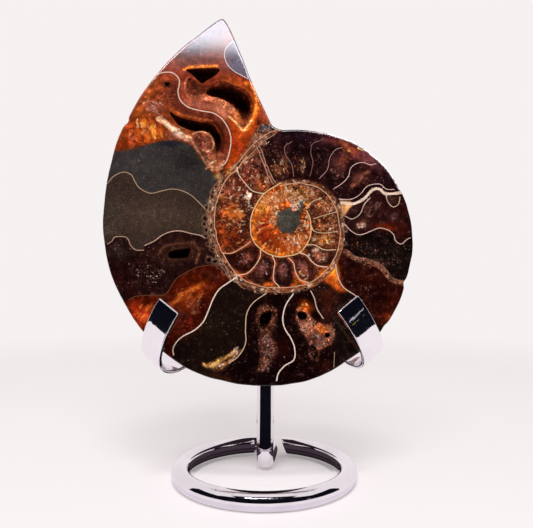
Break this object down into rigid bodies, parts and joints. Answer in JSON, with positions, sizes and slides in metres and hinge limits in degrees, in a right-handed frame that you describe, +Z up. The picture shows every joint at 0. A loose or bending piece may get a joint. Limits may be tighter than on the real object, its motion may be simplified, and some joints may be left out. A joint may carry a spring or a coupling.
{
  "type": "ammonite fossil half on a stand",
  "caption": "Polished cut half of an ammonite, leaning in a bright bent-metal stand whose open ring foot and hooked strips show its chambered face.",
  "frame": {"origin": "on the resting surface, under the middle of the whole object's box", "axes": "+Z up, -Y towards the viewer and the cut face, +X to the viewer's right"},
  "size_m": [0.0884, 0.0548, 0.1375],
  "materials": {
    "fossil": "polished mineral: calcite, dark chamber fill and pale septa",
    "bright_metal": "mirror-bright plating"
  },
  "bodies": {
    "root": {"fossil": "fossil", "ring_and_post": "bright_metal", "left_arm": "bright_metal", "right_arm": "bright_metal"}
  },
  "joints": []
}
